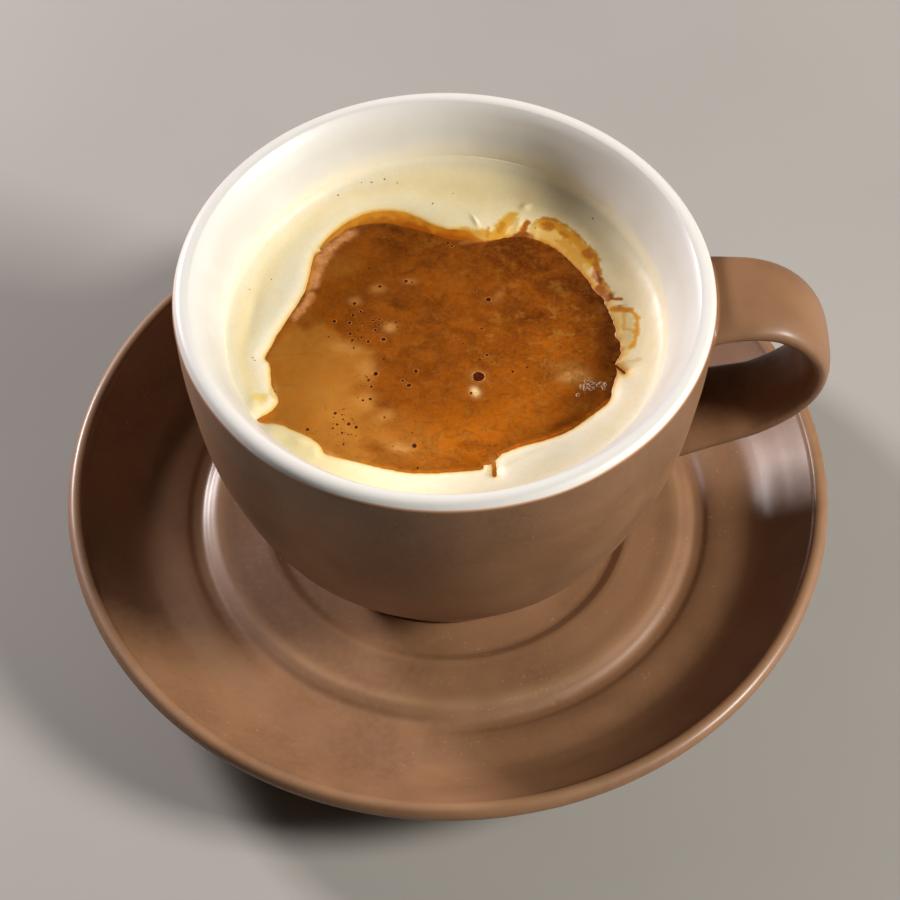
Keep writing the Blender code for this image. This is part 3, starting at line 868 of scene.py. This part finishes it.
def make_ice_cream():
    angles = full_turn(CREAM_SEGMENTS)
    thrice = np.tile(outline_radius(angles), 3)
    evened = np.convolve(thrice, np.ones(EDGE_SMOOTHING) / EDGE_SMOOTHING, "same")
    start = evened[CREAM_SEGMENTS:2 * CREAM_SEGMENTS] - CREAM_UNDERLAP
    end = hollow_radius(round_value(CONTACT_BELOW, angles)) + WALL_OVERLAP
    shares = np.concatenate(([-0.02], np.linspace(0.0, 1.0, 68)))[:, None]
    surface, away = relief_rings(start + (end - start) * shares, angles, cream_height)
    lows = np.array(HIDDEN_RINGS)[:, None]
    body = rings_of(hollow_radius(lows) - GAP, RIM_HEIGHT - lows + GAP, angles)
    middle = (0.0, 0.0, POOL_LEVEL - CREAM_BODY_DEPTH)
    bottom = (0.0, 0.0, RIM_HEIGHT - HOLLOW[0][1] + GAP)
    rings = np.concatenate((surface, body))
    mesh, x, y, away = food_mesh("ice_cream_melting", rings, away, 5.0, middle, bottom)
    colour_layer(mesh, "paint", cream_colours(x, y, away))
    add_piece("ice_cream_melting", mesh, cream_look(), "ice_cream")


# Espresso
# Inner shore of the thin amber rim of the espresso
AMBER_SHORE = (
    (-22.9, 19.2), (-21.5, 20.4), (-19.8, 22.2), (-18.2, 23.7), (-16.4, 24.8), (-14.0, 25.3),
    (-11.5, 25.4), (-8.8, 25.1), (-6.0, 24.3), (-3.2, 23.2), (-0.6, 22.2), (1.6, 21.5),
    (4.0, 21.2), (7.6, 21.0),
)
# Rest of that rim's outline, beyond the espresso
AMBER_BEYOND = ((8.0, 27.0), (-10.0, 34.0), (-26.0, 26.0))
# Tone of the crema and the spots that change it: x, y, half length, half width, turn, strength;
# above 0 is darker
CREMA_TONE = 0.62
TONE_SPOTS = (
    (-22, -13, 9.5, 8, 20, -0.4), (-17, -20, 8, 5.5, 0, -0.25), (-27, -1, 5, 8, -20, -0.3),
    (-18.5, 16, 5, 6, -30, -0.26), (-14.5, -4.5, 5, 3, 10, -0.15), (15, 17, 11, 6, -35, 0.42),
    (27, 6, 3.5, 8, 15, 0.28), (-1, 18, 13, 4.5, -14, 0.26), (-8, 24, 6, 1.2, -12, 0.3),
    (22, 16.5, 4, 3, -45, 0.35), (29, -6, 1.6, 5, 0, 0.45), (26, -14, 3.5, 2, 30, 0.25),
    (0, -25, 18, 6, 0, -0.5), (16, -16, 12, 7, 25, -0.46), (19.5, -2.5, 6, 5, 25, -0.32),
    (-3, 2, 9, 10, 0, 0.14), (12, -24, 4, 1.2, 25, 0.2), (13, 5, 5, 4, 0, 0.2),
    (-12, -25.5, 5, 1.2, -10, 0.22), (-20.2, 9.6, 2.6, 1.4, -30, 0.2),
    (-14.3, 7.2, 2.2, 1.2, 0, 0.2), (-24.3, 0.3, 1, 1.4, 20, 0.3),
    (-10.4, -15.8, 1.6, 1, 0, 0.4), (-8, 6.1, 1.6, 0.8, -40, 0.2), (16, 3.4, 2.4, 0.7, 28, 0.4),
    (18.6, -1, 1.2, 0.6, 20, 0.3), (24, 0.4, 1, 1.4, 20, 0.3), (23, -14.6, 3.2, 1.2, 20, 0.3),
    (12.2, -14, 1.5, 0.6, 0, 0.3), (15.8, -17.6, 1, 0.6, 0, 0.3), (4, -24.8, 2.2, 0.5, 0, 0.5),
    (8.2, -24.9, 1.2, 0.4, 0, 0.4), (11.6, 9.3, 0.6, 0.5, 0, 0.4),
    (20, -20.4, 2.6, 0.7, 32, 0.35), (-26, -5.2, 3.6, 0.35, 4, 0.22),
    (-27.4, -12, 2.4, 0.3, 2, 0.22),
)
# Outline of the tan part of the crema
TAN_SHORE = (
    (-32.5, -5.9), (-29.0, 0.5), (-24.5, 1.6), (-20.4, 1.5), (-14.0, -4.2), (-12.2, -7.5),
    (-12.5, -10.8), (-15.1, -13.0), (-12.0, -16.3), (-15.4, -19.5), (-13.5, -23.8),
    (-10.9, -26.9), (-14.0, -30.5), (-22.0, -27.0), (-34.0, -21.0),
)
# Pale spots of foam, in the same way
PALE_SPOTS = (
    (5.3, -13.4, 0.75, 0.95, 18, 0.95), (22.3, -9.8, 2.4, 1.4, 5, 0.75),
    (20.6, -7.4, 2.6, 0.8, 10, 0.25), (-7.5, -25.5, 2, 1, -12, 0.6),
    (-9.7, 0.9, 1.1, 1.1, 0, 0.55), (-16.1, 7, 1.1, 0.9, 0, 0.4), (-12, 9.9, 1.3, 1, 20, 0.35),
    (-6.3, 11.6, 1.3, 0.6, 0, 0.35), (-10.2, -18.7, 1.4, 1, 30, 0.4),
    (-14, -15.5, 2.2, 1.6, 30, 0.3), (5.9, -10, 1.35, 1.25, 0, 0.4),
    (-17.5, -3.6, 3, 1.2, -12, 0.3), (-13.5, -8.5, 1.6, 2, 0, 0.3),
    (24.6, -10.6, 1.2, 0.8, 0, 0.5), (-29.6, -13.6, 0.6, 1.6, -15, 0.5),
    (8.4, -28.2, 0.5, 0.5, 0, 0.7), (-19.6, -26.6, 1.2, 0.5, -20, 0.45),
    (9.6, 8.2, 1.6, 0.8, 60, 0.2),
)
# Foam and coffee that gathered along the shore: points, half width, softness, colour, opacity
SHORE_LINES = (
    (((-17.4, 22.9), (-19.6, 21.0), (-21.8, 18.2), (-23.0, 14.6), (-23.8, 10.6)), 0.3, 1.6,
     (214, 134, 68), 0.75),
    (((-23.9, 8.6), (-25.2, 5.8), (-26.8, 3.2)), 0.2, 1.2, (216, 138, 66), 0.8),
    (((-23.4, 18.0), (-23.9, 15.2), (-24.3, 12.0), (-24.7, 9.6)), 0.3, 0.5, (226, 142, 44), 0.9),
    (((-27.4, 3.2), (-28.6, 0.6), (-30.2, -3.0), (-31.3, -5.6)), 0.3, 0.6, (176, 92, 20), 0.75),
    (((3.0, 20.8), (5.0, 21.2), (7.0, 21.3)), 0.25, 0.6, (190, 122, 56), 0.5),
    (((-29.6, -18.6), (-30.8, -19.0), (-32.0, -19.5)), 0.4, 0.7, (212, 124, 34), 0.7),
    (((28.7, -14.9), (26.2, -17.4), (22.5, -20.6), (18.0, -23.1), (13.0, -24.8), (10.0, -26.2)),
     0.2, 0.5, (214, 112, 22), 0.85),
)
# How mottled the crema is everywhere, and what spots add to it
LIVELINESS = 0.22
LIVELY_SPOTS = (
    (19, -4, 12, 15, 0, 0.85), (2, -25, 16, 6, 0, 0.6), (-4, 20, 16, 4, -10, 0.25),
    (-22, -13, 8, 9, 0, -0.15),
)
# Place that the streaks run round, distance from it at which they are measured, and how much
# longer than wide they are
FLOW_CENTRE = (-5.0, 60.0)
FLOW_RADIUS = 65.0
FLOW_STRETCH = 1.7


def crema_height(x, y, away):
    edge = CONTACT_DIP * np.exp(np.minimum(away, 0.0) / 0.35)
    swell = clouds(x, y, (0.05, 6.0, 41), (0.02, 1.6, 42)) * np.clip(-away / 1.5, 0.0, 1.0)
    thin = 0.1 * soft_step(away, -2.6, -0.4) * spot(x, y, -11.0, 27.0, 12.0, 4.0)
    return POOL_LEVEL - edge + swell - thin - 0.6 * np.maximum(away, 0.0)


def crema_tones(x, y):
    """Colour of the crema from light to dark, tan towards the left."""
    tone = CREMA_TONE + spots(x, y, TONE_SPOTS) + clouds(x, y, (0.07, 4.0, 51), (0.05, 1.8, 52))
    tone = np.clip(tone, 0.0, 1.0)
    light = blend(CREMA_ORANGE, CREMA_TAN, soft_step(-x - 0.2 * y, 2.0, 17.0))
    low = blend(light, CREMA_MIDDLE, np.clip(2 * tone, 0.0, 1.0))
    return blend(low, CREMA_DARK, np.clip(2 * tone - 1, 0.0, 1.0))


def paint_edges(x, y, away, colours):
    """Adds the dark edge at the right, of darker coffee with painted shade of the crease, the orange one
    in front and the tan part.
    """
    angle = np.arctan2(y, x)
    inward = -away - 0.25 * cloud(x, y, 1.1, 53)
    # Dark edge at the right: darker coffee, partly painted shade where the crema meets the cream
    dark = facing(angle, 20.0, 0.55, 0.9) * (1.0 - soft_step(inward, 0.3, 1.6))
    colours = blend(colours, CREMA_EDGE, 0.48 * dark)
    lower = facing(angle, 245.0, 0.2, 0.7) * (1.0 - soft_step(inward, 0.15, 0.9))
    colours = blend(colours, CREMA_LOWER_EDGE, 0.75 * lower)
    tan = line_distance(x, y, TAN_SHORE, closed=True) + clouds(x, y, (1.3, 2.3, 81), (0.5, 0.9, 82))
    return blend(colours, CREMA_TAN, 0.6 * (1.0 - soft_step(tan, -2.0, 1.4)) * (1.0 - dark))


def paint_spots(x, y, colours):
    for *place, strength in PALE_SPOTS:
        share = strength * np.minimum(1.3 * spot(x, y, *place), 1.0)
        colours = blend(colours, FOAM_BRIGHT if strength > 0.9 else FOAM_PALE, share)
    return colours


def paint_rim(x, y, away, colours):
    """Adds the thin amber rim at the back and the dark line along it; also says where it is."""
    outline = np.concatenate((smooth_line(AMBER_SHORE, 3), AMBER_BEYOND))
    rim = 0.15 * cloud(x, y, 0.9, 54) - line_distance(x, y, outline, closed=True)
    in_rim = soft_step(rim, -0.1, 0.25)
    colours = blend(colours, AMBER_BORDER, 0.75 * bell(rim, -0.5, 0.6) * (rim < 0.3))
    depth = 0.8 * soft_step(-away + clouds(x, y, (0.6, 2.2, 55), (0.4, 0.8, 58)), 0.6, 2.8)
    depth += 0.6 * soft_step(x, -14.0, 1.0) + 0.25 * cloud(x, y, 1.3, 59)
    amber = blend(AMBER_BRIGHT, AMBER_DEEP, np.clip(depth, 0.0, 1.0))
    return blend(colours, amber, in_rim), in_rim


def paint_shore(x, y, colours, fringe):
    """Adds foam and coffee along the shore; also says where the fringe and the froth are."""
    froth = np.zeros(len(x))
    wander = clouds(x, y, (0.3, 0.6, 56), (0.3, 1.9, 57))
    for points, half, softness, colour, opacity in SHORE_LINES:
        away = line_distance(x, y, smooth_line(points, 4)) + min(softness, 1.0) * wander
        foam = 1.0 - soft_step(away, 0.4 * half, half + softness)
        colours = blend(colours, linear(*colour), opacity * foam)
        fringe = np.maximum(fringe, 0.6 * foam)
        if softness > 1.0:
            froth = np.maximum(froth, foam)
    return colours, fringe, 0.7 * froth ** 1.5


def crema_colours(x, y, away):
    """Colour of the crema, and its shares of fringe and froth."""
    colours = paint_spots(x, y, paint_edges(x, y, away, crema_tones(x, y)))
    colours, in_rim = paint_rim(x, y, away, colours)
    return paint_shore(x, y, colours, in_rim)


def crema_flow(x, y):
    """Places for the noise of the streaks, which run round the centre of the flow."""
    dx, dy = x - FLOW_CENTRE[0], y - FLOW_CENTRE[1]
    return np.stack((np.arctan2(dx, -dy) * FLOW_RADIUS / FLOW_STRETCH, np.hypot(dx, dy), 0 * x), 1)


def crema_edge(angles):
    """How far the espresso reaches at each angle, its runs included."""
    edge = outline_radius(angles) + CREMA_UNDERLAP
    for points, _ in POOL_RUNS:
        x, y = points[-1]
        far = hypot(x, y)
        turn = np.abs((angles - atan2(y, x) + pi) % tau - pi)
        edge = np.maximum(edge, np.where(turn * far < 1.6, far + 0.8, 0.0))
    return edge


def make_espresso():
    angles = full_turn(CREMA_SEGMENTS)
    shares = np.concatenate((np.linspace(0.03, 0.85, 52)[:-1], np.linspace(0.85, 1.0, 24)))[:, None]
    edge = crema_edge(angles)
    surface, away = relief_rings(edge * shares, angles, crema_height)
    below = rings_of(0.9 * edge[None], POOL_LEVEL - CREMA_EDGE_DEPTH, angles)
    top, bottom = (0, 0, POOL_LEVEL), (0, 0, POOL_LEVEL - CREMA_DEPTH)
    rings = np.concatenate((surface, below))
    mesh, x, y, away = food_mesh("espresso_crema", rings, away, 1.0, top, bottom)
    colours, fringe, froth = crema_colours(x, y, away)
    lively = np.clip(LIVELINESS + spots(x, y, LIVELY_SPOTS), 0.0, 1.0)
    colour_layer(mesh, "paint", colours)
    for name, values in (("fringe", fringe), ("foam", froth), ("lively", lively)):
        value_layer(mesh, name, values)
    layer = mesh.attributes.new("flow", "FLOAT_VECTOR", "POINT")
    layer.data.foreach_set("vector", crema_flow(x, y).astype(np.float32).ravel())
    add_piece("espresso_crema", mesh, crema_look(), "espresso")


# Bubbles and specks
# Open bubbles: place and radius
BUBBLES = (
    (5.9, -10.1, 0.85), (-12.0, -9.5, 0.36), (-5.0, -8.9, 0.32), (-6.2, -12.0, 0.34),
    (7.8, 7.4, 0.42), (-10.8, -1.8, 0.36), (-19.6, 2.3, 0.28), (-16.3, 3.7, 0.25),
    (-16.9, 2.0, 0.28), (-15.0, 4.6, 0.22), (-16.1, 6.4, 0.28), (-11.7, 10.4, 0.25),
    (-7.0, 11.6, 0.28), (-5.9, 11.4, 0.15), (-13.5, -2.3, 0.25), (-12.7, 2.5, 0.2),
    (-11.6, 2.7, 0.2), (-11.7, 1.5, 0.2), (-12.3, 0.3, 0.25), (-14.4, 1.1, 0.18),
    (-16.7, -0.5, 0.25), (-16.3, -2.0, 0.22), (-14.7, -1.3, 0.2), (-8.7, 2.1, 0.15),
    (-8.4, 1.0, 0.12), (-20.5, -1.2, 0.12), (-16.0, -3.7, 0.15), (-10.7, -6.3, 0.15),
    (-13.2, -10.9, 0.22), (-12.7, -12.3, 0.22), (-13.5, -10.2, 0.12), (-12.8, -15.0, 0.22),
    (-14.1, -15.3, 0.18), (-18.8, -18.1, 0.22), (-17.6, -18.4, 0.12), (-17.4, -19.4, 0.15),
    (-18.4, -20.5, 0.18), (-19.1, -21.3, 0.15), (-16.4, -20.4, 0.25), (-15.1, -21.1, 0.25),
    (-17.5, -22.3, 0.18), (-17.2, -24.7, 0.15), (-23.4, -21.6, 0.25), (-29.5, -13.4, 0.25),
    (-5.1, -25.0, 0.36), (-4.5, -29.6, 0.15), (-7.3, -11.0, 0.25), (-10.3, -19.0, 0.15),
    (7.4, -5.3, 0.25), (6.2, -6.3, 0.15), (11.9, -9.0, 0.22), (14.4, -8.0, 0.15),
    (4.6, -13.7, 0.2), (5.4, 9.4, 0.2), (0.5, 20.8, 0.25), (1.3, 20.0, 0.22),
    (6.5, 0.7, 0.15), (-13.7, 14.7, 0.15),
)
BUBBLE_GROWTH = 1.28
# Where the finest bubbles gather: middle, spread, number
BUBBLE_CLOUDS = (
    ((-14.5, 0.8), 3.6, 46), ((-17.2, -20.8), 2.8, 26), ((-13.5, -12.0), 2.4, 14),
    ((8.0, -8.0), 6.0, 14), ((-2.0, -22.0), 7.0, 16),
)
# Clusters of clear bubbles: middle, spread, number
FOAM_CLUSTERS = (((24.8, -12.2), 0.85, 24), ((27.4, -12.1), 0.55, 10))
# Vanilla seeds: where a line of sight to each passes the espresso's level
SPECKS = (
    (-2.3, 30.4), (-11.3, 36.3), (-13.7, 35.5), (-15.5, 35.4), (-8.9, 35.4), (-19.8, 32.3),
    (1.5, 32.9), (-30.4, 36.2), (27.1, 26.6), (-33.6, -6.0), (-33.2, -6.6), (16.6, 24.4),
    (-35.0, 9.6), (-31.2, 12.0),
)
# Direction from the ice cream towards the place that the object is seen from
SIGHT = np.array((0.0, -0.5865, 0.8099))
# Finishes of the small pieces: name, two colours, scale of their clouds, roughness, relief
# and, where it isn't the usual one, shine
SMALL_LOOKS = {
    "crema_bubbles": ("bubble_dark", linear(50, 17, 3), linear(88, 34, 6), 3000.0, 0.35, 0.004, 0.12),
    "bubble_rims": ("bubble_rim", linear(218, 142, 62), linear(158, 84, 22), 2600.0, 0.5, 0.004, 0.12),
    # Thin pale rings on the clear foam bubbles: painted highlights on their rims
    "foam_glints": ("foam_glint", linear(255, 246, 228), linear(206, 150, 96), 4200.0, 0.15, 0.003),
    "foam_clusters": ("bubble_clear", linear(196, 128, 66), linear(128, 68, 24), 2200.0, 0.08, 0.003),
    "vanilla_specks": ("vanilla_speck", linear(92, 70, 40), linear(140, 112, 70), 3000.0, 0.45, 0.01),
}


def dome(shape, x, y, z, radius, rise, sides, turn=0.0, squeeze=1.0):
    """Adds a low dome to a shape, which is a list of points and one of faces."""
    points, faces = shape
    start = len(points)
    levels = 3 if sides > 8 else 2
    for level in range(levels):
        lift = level / levels
        ring = radius * (1.0 - lift ** 2) ** 0.5
        height = z + rise * lift - (0.05 if level == 0 else 0.0)
        for side in range(sides):
            angle = tau * side / sides
            across, along = ring * cos(angle), ring * squeeze * sin(angle)
            turned_x = across * cos(turn) - along * sin(turn)
            turned_y = across * sin(turn) + along * cos(turn)
            points.append((x + turned_x, y + turned_y, height))
    points.append((x, y, z + rise))
    for low in range(start, start + (levels - 1) * sides, sides):
        for side in range(sides):
            following = (side + 1) % sides
            faces.append((low + side, low + following, low + sides + following, low + sides + side))
    top = start + (levels - 1) * sides
    faces += [(top + side, top + (side + 1) % sides, len(points) - 1) for side in range(sides)]
    faces.append(tuple(start + side for side in reversed(range(sides))))


def torus(shape, x, y, z, radius, thick, around=24, sides=6):
    """Adds a thin ring to a shape."""
    points, faces = shape
    start = len(points)
    for turn in range(around):
        angle = tau * turn / around
        for side in range(sides):
            tilt = tau * side / sides
            reach = radius + 0.3 * thick + thick * cos(tilt)
            points.append((x + reach * cos(angle), y + reach * sin(angle), z + 0.45 * thick * sin(tilt)))
        faces += strip(start + turn * sides, start + (turn + 1) % around * sides, sides)


def crema_level(x, y):
    x, y = np.array([x]), np.array([y])
    return float(crema_height(x, y, pool_distance(x, y))[0])


def scattered(random, groups, closeness, smallest, variety):
    """Places and radii of bubbles in groups of middle, spread and number."""
    for middle, spread, number in groups:
        for _ in range(number):
            x, y = middle + random.normal(0.0, spread, 2) * closeness
            yield x, y, smallest + variety * random.random()


def add_small(name, shape):
    add_piece(name, smooth_mesh(name, *shape, CUP_SHIFT), plain_look(*SMALL_LOOKS[name]))


def make_bubbles():
    random = np.random.default_rng(5)
    bubbles, rims = ([], []), ([], [])
    for x, y, radius in BUBBLES:
        level = crema_level(x, y)
        radius *= BUBBLE_GROWTH
        dome(bubbles, x, y, level + 0.01, radius, 0.16 * radius, 20 if radius > 0.2 else 10)
        if radius >= 0.22:
            torus(rims, x, y, level, radius, 0.03 + 0.09 * radius)
    for x, y, radius in scattered(random, BUBBLE_CLOUDS, 0.7, 0.065, 0.075):
        dome(bubbles, x, y, crema_level(x, y) + 0.01, radius, 0.2 * radius, 7)
    add_small("crema_bubbles", bubbles)
    add_small("bubble_rims", rims)
    clear, glints = ([], []), ([], [])
    for x, y, radius in scattered(random, FOAM_CLUSTERS, 0.8, 0.14, 0.2):
        level = crema_level(x, y)
        dome(clear, x, y, level, radius, 0.6 * radius, 12)
        # Painted highlights: thin pale rings on the rims of the clear bubbles
        torus(glints, x, y, level + 0.04, radius, 0.055, 16, 5)
    add_small("foam_glints", glints)
    add_small("foam_clusters", clear)


def on_cream(x, y):
    """Where a line of sight through a place at the espresso's level meets the ice cream."""
    place = np.array((x, y, POOL_LEVEL))
    for _ in range(60):
        across, along = place[:1], place[1:2]
        gap = cream_height(across, along, pool_distance(across, along))[0] - place[2]
        if gap < 0.02:
            break
        place = place + SIGHT * (0.6 * gap / SIGHT[2])
    return place


def make_specks():
    """Vanilla seeds on the ice cream and on its film at the wall."""
    random = np.random.default_rng(9)
    specks = ([], [])
    for x, y in SPECKS:
        x, y, level = on_cream(x, y)
        radius, turn, squeeze = (random.uniform(*span) for span in ((0.14, 0.24), (0.0, pi), (0.45, 0.8)))
        dome(specks, x, y, level - 0.01, radius, 0.1, 9, turn, squeeze)
    add_small("vanilla_specks", specks)


# Floor, light and camera, with lengths in metres
FLOOR_HALF = 1.6
FLOOR_COLOURS = (linear(170, 167, 162), linear(164, 161, 156))
# What the lights look at
AIM = Vector((0.0, 0.0, 0.045))
# Square lights: degrees round from +X, degrees up, distance, size, power, colour
SOFTBOXES = {
    "light_back_left": (139.0, 22.5, 1.0, 0.20, 11.3, (1.0, 0.93, 0.93)),
    "light_right": (-13.0, 32.0, 1.0, 0.26, 12.8, (1.0, 0.96, 0.90)),
    "light_top": (-90.0, 76.0, 1.2, 0.9, 0.15, (1.0, 0.99, 0.97)),
}
ROOM_COLOUR = (0.96, 0.98, 1.0, 1.0)
ROOM_STRENGTH = 0.018
# Camera: lens and sensor in millimetres, place, degrees that it tilts up and rolls
LENS = 88.0
SENSOR = 36.0
CAMERA_PLACE = (0.00040, -0.24534, 0.36390)
CAMERA_TILT = 35.908
CAMERA_ROLL = 0.0968


def make_floor():
    mesh = bpy.data.meshes.new("floor")
    corners = [(-1, -1), (1, -1), (1, 1), (-1, 1)]
    mesh.from_pydata([(FLOOR_HALF * x, FLOOR_HALF * y, 0.0) for x, y in corners], [], [(0, 1, 2, 3)])
    mesh.materials.append(plain_look("floor", *FLOOR_COLOURS, 9.0, 0.6, 0.02))
    placed("floor", mesh)


def softbox(name, azimuth, elevation, distance, size, watts, colour):
    light = bpy.data.lights.new(name, "AREA")
    light.shape = "SQUARE"
    light.size = size
    light.energy = watts
    light.color = colour
    turn, lift = radians(azimuth), radians(elevation)
    away = Vector((cos(turn) * cos(lift), sin(turn) * cos(lift), sin(lift)))
    made = placed(name, light)
    made.location = AIM + away * distance
    made.rotation_euler = away.to_track_quat("Z", "Y").to_euler()


def make_lights():
    for name, values in SOFTBOXES.items():
        softbox(name, *values)
    world = bpy.data.worlds.new("soft_room")
    world.use_nodes = True
    background = world.node_tree.nodes["Background"]
    background.inputs["Color"].default_value = ROOM_COLOUR
    background.inputs["Strength"].default_value = ROOM_STRENGTH
    bpy.context.scene.world = world


def make_camera():
    camera = bpy.data.cameras.new("camera")
    camera.lens = LENS
    camera.sensor_width = SENSOR
    camera.clip_start = 0.005
    made = placed("camera", camera)
    tilt = Matrix.Rotation(radians(CAMERA_TILT), 4, "X")
    roll = Matrix.Rotation(radians(CAMERA_ROLL), 4, "Z")
    made.matrix_world = Matrix.Translation(CAMERA_PLACE) @ tilt @ roll
    bpy.context.scene.camera = made


bpy.context.scene.view_settings.view_transform = "Standard"
make_saucer()
make_cup()
make_ice_cream()
make_espresso()
make_bubbles()
make_specks()
make_floor()
make_lights()
make_camera()
bpy.context.view_layer.update()
